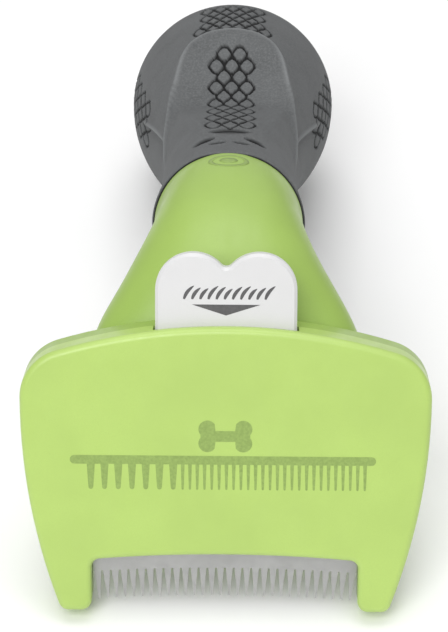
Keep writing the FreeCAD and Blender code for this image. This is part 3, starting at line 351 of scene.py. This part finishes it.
def lens_cells(across, along, rows, width, half_width=0.46):
    """Grooves round staggered lens-shaped cells. rows gives each row's place, cell count and
    cell length."""
    groove = np.zeros_like(across)
    for centre, count, length in rows:
        for k in range(count):
            u = (across - (k - (count - 1) / 2) * width) / width
            inside = np.abs(u) <= 0.56
            bow = 0.5 * length * (1 - np.minimum(np.abs(2 * u), 1.0) ** 2)
            slope = 2 * length * np.abs(u) / width
            gap = (np.abs(along - centre) - bow) / np.sqrt(1 + slope**2)
            groove = np.maximum(groove, np.where(inside, dip(gap, half_width), 0.0))
    return groove


def lens_slot(across, along, ends, half_width):
    """A short lens-shaped slot between two (across, along) ends."""
    (x0, y0), (x1, y1) = ends
    length = math.hypot(x1 - x0, y1 - y0)
    ux, uy = (x1 - x0) / length, (y1 - y0) / length
    t = ((across - x0) * ux + (along - y0) * uy) / length
    off = -(across - x0) * uy + (along - y0) * ux
    width = half_width * np.sqrt(np.clip(1 - (2 * t - 1) ** 2, 0.0, 1.0)) + 1e-6
    return np.where((t > 0) & (t < 1), dip(off, width), 0.0)


def arc_length(along):
    """Length along the top of the grip, so cells keep their size up the ramp."""
    fine = np.linspace(0.0, GRIP_LENGTH, 800)
    slope = np.gradient(np.minimum(thumb_height(fine), PALM), fine)
    total = np.cumsum(np.sqrt(1 + slope**2)) * (fine[1] - fine[0])
    return np.interp(along, fine, total)


def grip_grooves(along, angle, radius):
    """Depth of the moulded grooves in mm, and the painted shade in them, at each place of the grip.
    """
    across = radius * np.cos(angle)
    on_top = np.sin(angle) > 0.3
    run = arc_length(along)
    first = float(arc_length(np.array(THUMB_START)))
    thumb_rows = [
        (first + CELL_PITCH * i, 3 - i % 2, CELL_PITCH * (1.80 - 0.05 * i))
        for i in range(THUMB_ROWS)
    ]
    thumb = lens_cells(across, run, thumb_rows, THUMB_CELL)
    cells = thumb * (along < THUMB_END) * on_top
    palm_rows = [
        (PALM_START + PALM_PITCH * i, count, PALM_CELL_LENGTH)
        for i, count in enumerate(PALM_COUNTS)
    ]
    palm = lens_cells(across, along, palm_rows, PALM_CELL)
    cells = np.maximum(cells, palm * (along > PALM_EDGE) * on_top)
    side_rows = [
        (SIDE_START + SIDE_PITCH * i, 3 - i % 2, SIDE_CELL_LENGTH) for i in range(SIDE_ROWS)
    ]
    for side in SIDE_ANGLES:
        turn = radius * (angle - math.radians(side))
        cells = np.maximum(cells, lens_cells(turn, along, side_rows, SIDE_CELL))
    slots = np.zeros_like(cells)
    for side in (1, -1):
        for ends, half_width in SLOTS:
            slots = np.maximum(slots, lens_slot(across * side, along, ends, half_width))
    slots = slots * on_top
    # a lens-shaped tray, deepest along its far edge, with painted shade that darkens towards that
    # edge
    bow = TRAY_BOW * (1 - np.minimum(np.abs(across) / TRAY_HALF_WIDTH, 1.0) ** 2)
    off = np.clip((along - TRAY_PLACE) / np.maximum(bow, 1e-6), -1.5, 1.5)
    tray = on_top * np.clip((1 - np.abs(off)) * 6, 0, 1) * (bow > 0)
    depth = GROOVE_DEPTH * cells + SLOT_DEPTH * slots + tray * (TRAY_DEPTH + TRAY_DEPTH * off)
    # painted shade: cells and slots coloured near black, the tray darker towards its deep edge
    dark = np.maximum(cells, slots) * 1.7 + tray * np.clip(0.50 + 0.8 * off, 0.35, 1.0)
    return depth, np.clip(dark, 0, 1)


CREASE_START, CREASE_END = 33.0, 60.0  # along the grip
CREASE_ANGLE, CREASE_ANGLE_PLACE = 158.5, 35.7  # degrees round the grip at this place
CREASE_TURN = 0.60  # degrees for each millimetre along
CREASE_RADIUS = 15.0  # turns an angle off the crease into a distance
CREST_WIDTH, CREST_HEIGHT, HOLLOW_DEPTH = 0.40, 0.45, 0.7


def side_creases(along, angle):
    """Height of the raised crease on each side, where the neck's flank meets the palm, and the
    painted highlight along its crest."""
    height, crest_highlight = np.zeros_like(along), np.zeros_like(along)
    fade = np.clip((along - CREASE_START) / 4.0, 0, 1) * np.clip((CREASE_END - along) / 6.0, 0, 1)
    line = math.radians(CREASE_ANGLE) + math.radians(CREASE_TURN) * (along - CREASE_ANGLE_PLACE)
    for mirror in (angle, math.pi - angle):
        off = np.mod(mirror - line + math.pi, 2 * math.pi) - math.pi
        off = off * CREASE_RADIUS
        crest = np.exp(-((off / CREST_WIDTH) ** 2))
        hollow = np.clip(off / 0.8, 0, 1) * np.exp(-np.maximum(off - 0.8, 0) / 3.5)
        height = height + fade * (crest * CREST_HEIGHT - HOLLOW_DEPTH * hollow)
        # painted highlight along the crest's top
        crest_highlight = np.maximum(crest_highlight, fade * crest * 0.8)
    return height, crest_highlight


# left edge of the thumb ramp: distance along the grip, and angle round it in degrees
RAMP_EDGE = (
    (20.0, 166), (27.0, 162), (33.7, 157), (40.6, 141.5), (48.6, 129),
    (54.6, 120.5), (59.1, 113.5), (61.3, 104.5), (EDGE_END, 90),
)
# the third width is that of the painted highlight along the edge
EDGE_HEIGHT, EDGE_WIDTH, HIGHLIGHT_WIDTH = 0.42, 0.75, 0.42
SCOOP_DEPTH, SCOOP_REACH = 0.70, 4.0


def ramp_edge_line():
    """Points every half millimetre or so along the ramp's edge, from one side over the crest to
    the other, in the handle's own axes: across, along, up."""
    along, degrees = (np.array(column, float) for column in zip(*RAMP_EDGE))
    run = np.linspace(0, len(along) - 1, 121)
    step = np.arange(len(along))
    along, angle = np.interp(run, step, along), np.radians(np.interp(run, step, degrees))
    for _ in range(12):
        along[1:-1] = (along[:-2] + 2 * along[1:-1] + along[2:]) / 4
        angle[1:-1] = (angle[:-2] + 2 * angle[1:-1] + angle[2:]) / 4
    radius = grip_radius(along, angle)
    left = np.stack([radius * np.cos(angle), along, radius * np.sin(angle)], axis=1)
    right = left[::-1] * np.array((-1, 1, 1))
    return np.concatenate([left, right[1:]]), along, angle


EDGE_LINE, EDGE_ALONG, EDGE_ANGLE = ramp_edge_line()


def ramp_edge(along, angle, radius):
    """Height of the ramp's raised edge and of the scoop inside it, and the painted highlight along
    the edge.
    """
    here = np.stack([radius * np.cos(angle), along, radius * np.sin(angle)], axis=1)
    gap = np.sqrt(((here[:, None, :] - EDGE_LINE[None, :, :]) ** 2).sum(axis=2).min(axis=1))
    turned = np.abs(angle - math.pi / 2)
    edge_turn = np.interp(along, EDGE_ALONG, EDGE_ANGLE) - math.pi / 2
    inside = (turned < edge_turn) & (along < EDGE_ALONG[-1])
    fade = np.clip((along - 19.0) / 9.0, 0, 1)
    scoop = np.clip(gap / SCOOP_REACH, 0, 1)
    scoop = scoop * scoop * (3 - 2 * scoop)
    deepest = SCOOP_DEPTH * np.clip((along - 24.0) / 16.0, 0, 1)
    outer_fall = 0.45 * (1 - np.exp(-((gap / 1.2) ** 2))) * np.exp(-gap / 4.0) * ~inside
    crest = np.exp(-((gap / EDGE_WIDTH) ** 2))
    height = fade * (EDGE_HEIGHT * crest - outer_fall) - np.where(inside, deepest * scoop, 0.0)
    # the second value is a painted highlight along the edge
    return height, fade * np.exp(-((gap / HIGHLIGHT_WIDTH) ** 2)) * 0.75


GRIP_COLUMNS = 300
GRIP_STEP = 0.30
# the lip round the neck: (distance along the grip, distance inwards, how much painted shade)
LIP_DEPTH = 1.4
LIP = (
    (LIP_DEPTH, 3.5, 1.0), (0.5, 3.5, 1.0), (-0.25, 2.0, 1.0),
    (-0.30, 0.42, 1.0), (-0.12, 0.34, 1.0), (0.0, 0.30, 0.9),
    (0.04, 0.16, 0.3), (0.14, 0.06, 0.0), (0.32, 0.01, 0.0),
)


def grip_angles():
    """Angles round the grip, closer together where grooves are."""
    fine = np.linspace(-math.pi / 2, 1.5 * math.pi, 4001)
    degrees = np.degrees(fine)
    crowded = np.full_like(fine, 0.42)
    crowded += 1.0 * ((degrees > 50) & (degrees < 130))
    for side in SIDE_ANGLES:
        crowded += 0.65 * (np.abs(degrees - side) < 22)
    total = np.cumsum(crowded)
    return np.interp(np.arange(GRIP_COLUMNS) / GRIP_COLUMNS * total[-1], total, fine)


def make_grip():
    """Rubber grip: a pear-shaped skin with a thumb ramp, creases and real moulded grooves, painted
    shade in the grooves and a painted highlight along the crests. Its front has a rounded lip round
    the neck, with painted shade in the gap."""
    angles = grip_angles()
    shaft = np.arange(0.6, PALM_PLACE, GRIP_STEP)
    turn = np.linspace(0, 1, 34)[1:-1] * math.pi / 2
    dome = PALM_PLACE + (GRIP_LENGTH - PALM_PLACE) * np.sin(turn)
    rings, painted_shade_rings, highlight_rings = [], [], []

    def add_ring(along, radius, dark, highlighted=0.0):
        along = np.broadcast_to(along, angles.shape)
        ring = RING + np.outer(along, AXIS) + np.outer(radius * np.sin(angles), ACROSS)
        ring[:, 0] += radius * np.cos(angles)
        rings.append(ring)
        painted_shade_rings.append(np.broadcast_to(dark, angles.shape))
        highlight_rings.append(np.broadcast_to(highlighted, angles.shape))

    lip = grip_radius(np.zeros_like(angles), angles)
    # the lip's dark share is painted shade in the gap round the neck
    for along, inwards, dark in LIP:
        add_ring(along, lip - inwards, dark)
    for along in np.concatenate([shaft, dome]):
        place_along = np.full_like(angles, along)
        radius = grip_radius(place_along, angles)
        # dark is the painted shade in the grooves, slots and tray
        depth, dark = grip_grooves(place_along, angles, radius)
        # crease and edge heights are real shape; their second values are a painted highlight along
        # the crests
        crease, crease_highlight = side_creases(place_along, angles)
        edge, edge_highlight = ramp_edge(place_along, angles, radius)
        add_ring(along, radius - depth + crease + edge, dark, np.maximum(crease_highlight, edge_highlight))
    points = place(np.concatenate(rings))
    rows, columns = len(rings), len(angles)
    faces = grid_faces(rows, columns)
    front = place([RING + AXIS * LIP_DEPTH])
    back = place([RING + AXIS * GRIP_LENGTH])
    points = np.concatenate([points, front, back])
    centre_front, centre_back = rows * columns, rows * columns + 1
    last = (rows - 1) * columns
    for c in range(columns):
        d = (c + 1) % columns
        faces.append((centre_front, d, c))
        faces.append((last + c, last + d, centre_back))
    grip = new_object("grip", points, faces)
    # the first attribute is painted shade, the second a painted highlight
    for name, values in (("groove", painted_shade_rings), ("crest_highlight", highlight_rings)):
        attribute = grip.data.attributes.new(name, "FLOAT", "POINT")
        values = np.concatenate(values + [np.zeros(2)])
        attribute.data.foreach_set("value", values.astype(np.float32))
    paint(grip, GRIP_RUBBER)
    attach(grip, "root")
    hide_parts("grip_sleeve")


make_grip()


# ---------------------------------------------------------------- printed marks
INK_DEPTH = 0.02
INK_GAP = 0.002  # ink stands this far off the surface
BUTTON_FRONT = 1.95  # Y of the button's face
COMB_LEFT, COMB_RIGHT, COMB_TOP, COMB_FOOT = -26.0, 25.2, 27.5, 21.6
COMB_BACK, COARSE_SHARE = 1.5, 0.36
COARSE_TOOTH, COARSE_GAP, FINE_TOOTH, FINE_GAP = 1.35, 0.95, 0.62, 0.60
BONE_PLACE, BONE_LENGTH, BONE_KNOB = (0.0, 30.9), 9.0, 1.5
ARROW = ((5.7, 53.0), (0.0, 51.15), (-5.7, 53.0))
HAIR_COUNT, HAIR_START, HAIR_PITCH, HAIR_FOOT = 11, -7.0, 1.35, 53.9
HAIR_WIDTH, HAIR_LEAN, HAIR_CURL = 0.6, 14, 22


def ink_shape(name, outlines, front, material, body):
    """Flat printed shapes: each outline is a list of (x, z) corners, and they lie just in front of
    the plane Y = front."""
    points, faces = [], []
    for outline in outlines:
        first, count = len(points), len(outline)
        for y in (front - INK_DEPTH, front - INK_GAP):
            points += [(x, y, z) for x, z in outline]
        faces.append(tuple(first + k for k in range(count)))
        faces.append(tuple(first + count + k for k in reversed(range(count))))
        for k in range(count):
            d = (k + 1) % count
            faces.append((first + k, first + count + k, first + count + d, first + d))
    piece = new_object(name, place(points), faces, smooth=False)
    paint(piece, material)
    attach(piece, body)
    return piece


def arc(x, z, radius, start, end, steps=14):
    """Points of an arc round (x, z), its ends given in degrees."""
    angles = np.radians(np.linspace(start, end, steps))
    return [(x + radius * math.cos(a), z + radius * math.sin(a)) for a in angles]


def stroke(x, z, length, width, lean, curl=0.0, steps=12):
    """A tapered hair stroke, its foot at (x, z), leaning to the right and curling."""
    left, right = [], []
    for k in range(steps + 1):
        t = k / steps
        angle = math.radians(lean + curl * t)
        px = x + length * t * math.sin(angle)
        pz = z + length * t * math.cos(angle)
        half = 0.5 * width * math.sin(math.pi * min(0.12 + 0.88 * t, 0.985)) ** 0.6
        left.append((px - half * math.cos(angle), pz + half * math.sin(angle)))
        right.append((px + half * math.cos(angle), pz - half * math.sin(angle)))
    return right + left[::-1]


def bone(x, z, length, knob):
    """Outline of a bone with two knobs at each end."""
    half = length / 2 - knob
    waist = knob * 0.62
    out = []
    out += arc(x + half, z - knob * 0.82, knob, 215, 400)
    out += arc(x + half, z + knob * 0.82, knob, -40, 145)
    out += [(x + half * 0.55, z + waist), (x - half * 0.55, z + waist)]
    out += arc(x - half, z + knob * 0.82, knob, 35, 220)
    out += arc(x - half, z - knob * 0.82, knob, 140, 325)
    out += [(x - half * 0.55, z - waist), (x + half * 0.55, z - waist)]
    return out


def comb(left, right, top, back, tooth_foot, coarse):
    """Outline of a grooming comb lying flat: a back with round ends, coarse teeth over the
    coarse part of its length and fine teeth over the rest."""
    radius = back / 2
    out = arc(left + radius, top - radius, radius, 270, 90)
    out += arc(right - radius, top - radius, radius, 90, -90)
    under = top - back
    x = right - back
    while x > left + back:
        share = (x - left) / (right - left)
        tooth, gap = (COARSE_TOOTH, COARSE_GAP) if share < coarse else (FINE_TOOTH, FINE_GAP)
        if x - tooth < left + back * 0.8:
            break
        tip = tooth * 0.30
        out += [(x, under), (x - tooth / 2 + tip, tooth_foot + tip)]
        out += arc(x - tooth / 2, tooth_foot + tip, tip, 0, -180, 6)
        out += [(x - tooth, under)]
        x -= tooth + gap
    return out


def make_prints():
    """A comb and a bone on the face, and hair over an arrow on the button."""
    comb_line = comb(COMB_LEFT, COMB_RIGHT, COMB_TOP, COMB_BACK, COMB_FOOT, COARSE_SHARE)
    bone_line = bone(*BONE_PLACE, BONE_LENGTH, BONE_KNOB)
    hairs = []
    for k in range(HAIR_COUNT):
        length = 2.5 + 0.3 * math.cos(k * 1.9)
        start = HAIR_START + HAIR_PITCH * k
        hairs.append(stroke(start, HAIR_FOOT, length, HAIR_WIDTH, HAIR_LEAN, HAIR_CURL))
    ink_shape("comb_print", [comb_line], 0.0, GREEN_INK, "root")
    ink_shape("bone_print", [bone_line], 0.0, GREEN_INK, "root")
    ink_shape("arrow_print", [ARROW], BUTTON_FRONT, GREY_INK, "ejector")
    ink_shape("hair_print", hairs, BUTTON_FRONT, GREY_INK, "ejector")


make_prints()


MARK_PLACE = -3.6  # along the handle's axis, so just below the grip
MARK_HALF_WIDTH, MARK_HALF_HEIGHT = 3.6, 2.4
MARK_LIFT, MARK_THICKNESS = 0.03, 0.02
# (inner, outer) size of each ring, as shares of the mark's half width
MARK_BANDS = (("size_ring_print", 0.76, 1.0), ("size_dot_print", 0.0, 0.45))


def make_size_mark():
    """Oval ring with a dot, printed on the neck just below the grip, wrapped onto its surface."""
    neck = frame["nodes"]["neck_cover"]
    corners = [v.co for v in neck.data.vertices]
    tree = BVHTree.FromPolygons(corners, [p.vertices for p in neck.data.polygons])
    down = -Vector(ACROSS @ BASIS).normalized()

    def on_neck(across, along):
        over = RING + AXIS * along + ACROSS * 30 + np.array((across, 0, 0))
        hit = tree.ray_cast(Vector(place([over])[0]), down)[0]
        return hit - down * MARK_LIFT * MM

    def band(inner, outer, columns=72):
        points = []
        for radius in (inner, (inner + outer) / 2, outer):
            for c in range(columns):
                turn = 2 * math.pi * c / columns
                across = radius * MARK_HALF_WIDTH * math.cos(turn)
                along = MARK_PLACE + radius * MARK_HALF_HEIGHT * math.sin(turn)
                points.append(on_neck(across, along))
        faces = grid_faces(3, columns)
        if inner == 0.0:
            points = points[columns:]
            points.append(on_neck(0.0, MARK_PLACE))
            faces = grid_faces(2, columns)
            faces += [(len(points) - 1, (c + 1) % columns, c) for c in range(columns)]
        return points, faces

    for name, inner, outer in MARK_BANDS:
        points, faces = band(inner, outer)
        piece = new_object(name, points, faces)
        thick = piece.modifiers.new("thickness", "SOLIDIFY")
        thick.thickness = MARK_THICKNESS * MM
        paint(piece, GREEN_INK)
        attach(piece, "root")


make_size_mark()


# ---------------------------------------------------------------- camera, light and floor
SENSOR_WIDTH = 36.0
LENS = 159.494
LOOK_DOWN = math.radians(13.0)
LOOK_LEFT = math.radians(0.60)
ROLL = math.radians(0.3)
DISTANCE = 463.0
TARGET = np.array((-0.33, 0.0, 48.8))
TARGET_RISE = 2.65
FLOOR_SIZE = 6  # metres
ROOM_STRENGTH = 0.30
LIT_PLACE = (0.0, 0.0, 0.03)
# name, place in metres in the row's frame, width, watts
LIGHTS = (
    ("key", (-0.28, -0.85, 0.9), 0.7, 9.0),
    ("fill", (0.60, -0.60, 0.9), 1.0, 1.6),
    ("top", (0.0, 0.10, 1.25), 0.8, 6.0),
    ("back", (0.0, 0.95, 0.75), 1.2, 2.2),
)


def make_camera():
    """A long lens that looks down at the face, turned slightly to the left."""
    level = math.cos(LOOK_DOWN)
    aside, ahead = -math.sin(LOOK_LEFT) * level, math.cos(LOOK_LEFT) * level
    forward = np.array((aside, ahead, -math.sin(LOOK_DOWN)))
    right = np.array((math.cos(LOOK_LEFT), math.sin(LOOK_LEFT), 0.0))
    up = np.cross(right, forward)
    eye = TARGET - forward * DISTANCE + up * TARGET_RISE
    camera = bpy.data.objects.new("camera", bpy.data.cameras.new("camera"))
    camera.data.sensor_width = SENSOR_WIDTH
    camera.data.lens = LENS
    camera.data.clip_start = 0.01
    turned_right = right * math.cos(ROLL) + up * math.sin(ROLL)
    turned_up = up * math.cos(ROLL) - right * math.sin(ROLL)
    axes = [Vector(v @ BASIS).normalized() for v in (turned_right, turned_up, -forward)]
    turn = Matrix(axes).transposed().to_4x4()
    camera.matrix_world = Matrix.Translation(Vector(place([eye])[0])) @ turn
    bpy.context.scene.collection.objects.link(camera)
    bpy.context.scene.camera = camera


def area_light(name, spot, target, width, power):
    """A square light at spot that faces target, in metres and watts."""
    lamp = bpy.data.lights.new(name, "AREA")
    lamp.size = width
    lamp.energy = power
    light = bpy.data.objects.new(name, lamp)
    light.location = spot
    light.rotation_euler = (Vector(target) - Vector(spot)).to_track_quat("-Z", "Y").to_euler()
    bpy.context.scene.collection.objects.link(light)


def make_stage():
    """A white floor, a dim white room and four lights."""
    half = FLOOR_SIZE / 2
    corners = [(-half, -half, 0), (half, -half, 0), (half, half, 0), (-half, half, 0)]
    floor = new_object("floor", corners, [(0, 1, 2, 3)], smooth=False)
    glow = {"Emission_Color": (1.0, 1.0, 1.0, 1.0), "Emission_Strength": 0.05}
    s = Shader("floor", (0.93, 0.93, 0.93), 0.75, **glow)
    tone = s.mix(s.ramp(s.noise(60.0), 0.0, 1.0), (0.92, 0.92, 0.92), (0.94, 0.94, 0.94))
    s.drive("Base Color", tone)
    paint(floor, s.material)
    world = bpy.data.worlds.new("studio")
    world.use_nodes = True
    background = world.node_tree.nodes["Background"]
    background.inputs["Color"].default_value = (1.0, 1.0, 1.0, 1.0)
    background.inputs["Strength"].default_value = ROOM_STRENGTH
    bpy.context.scene.world = world
    for name, spot, width, power in LIGHTS:
        area_light(name, spot, LIT_PLACE, width, power)
    bpy.context.scene.view_settings.view_transform = "Standard"


make_camera()
make_stage()
